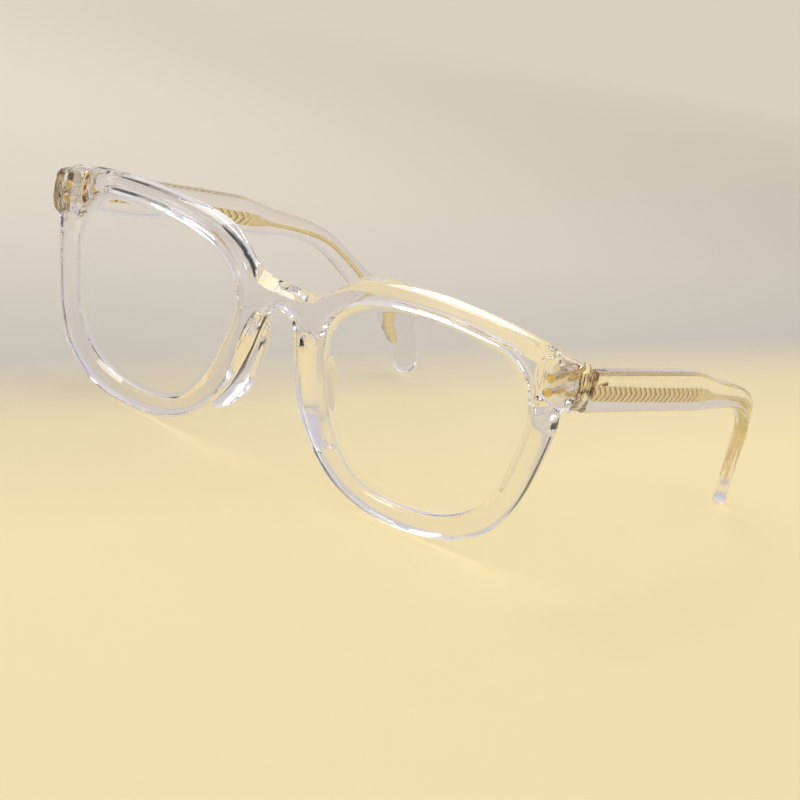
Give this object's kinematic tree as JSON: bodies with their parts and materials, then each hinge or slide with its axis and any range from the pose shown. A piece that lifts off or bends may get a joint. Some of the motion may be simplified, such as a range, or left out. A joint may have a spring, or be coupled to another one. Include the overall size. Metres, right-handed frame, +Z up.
{
  "type": "eyeglasses",
  "caption": "Open eyeglasses in clear acetate: wrapped front with bevelled brow, fitted lenses, moulded nose pads and folding temples with a gilt braided core.",
  "frame": {"origin": "on the surface the glasses stand on, midway between the two sides and midway between the front and the temple tips", "axes": "+X towards the wearer's left, +Y from the front back towards the temple tips, +Z up"},
  "size_m": [0.1406, 0.1474, 0.051],
  "materials": {
    "crystal_acetate": "polished, clear with a faint warm tint",
    "clear_lens": "polished, clear",
    "gilt_metal": "satin gilt",
    "braided_core": "chevron braid, gilt"
  },
  "bodies": {
    "front_assembly": {"front": "crystal_acetate", "lens_left": "clear_lens", "lens_right": "clear_lens", "nose_pad_left": "crystal_acetate", "nose_pad_right": "crystal_acetate", "front_hinge_left": "gilt_metal", "front_hinge_right": "gilt_metal", "hinge_screw_left": "gilt_metal", "hinge_screw_right": "gilt_metal", "rivet_upper_left": "gilt_metal", "rivet_lower_left": "gilt_metal", "rivet_upper_right": "gilt_metal", "rivet_lower_right": "gilt_metal"},
    "left_temple": {"temple_left": "crystal_acetate", "core_wire_left": "braided_core", "temple_hinge_left": "gilt_metal"},
    "right_temple": {"temple_right": "crystal_acetate", "core_wire_right": "braided_core", "temple_hinge_right": "gilt_metal"}
  },
  "joints": [
    {"name": "left_temple_fold", "type": "hinge", "parent": "front_assembly", "child": "left_temple", "pos_m": [0.0652, -0.06242, 0.04316], "axis": [0, -0.1442, 0.9895], "range_deg": [0, 84]},
    {"name": "right_temple_fold", "type": "hinge", "parent": "front_assembly", "child": "right_temple", "pos_m": [-0.0652, -0.06242, 0.04316], "axis": [0, 0.1442, -0.9895], "range_deg": [0, 76]}
  ]
}
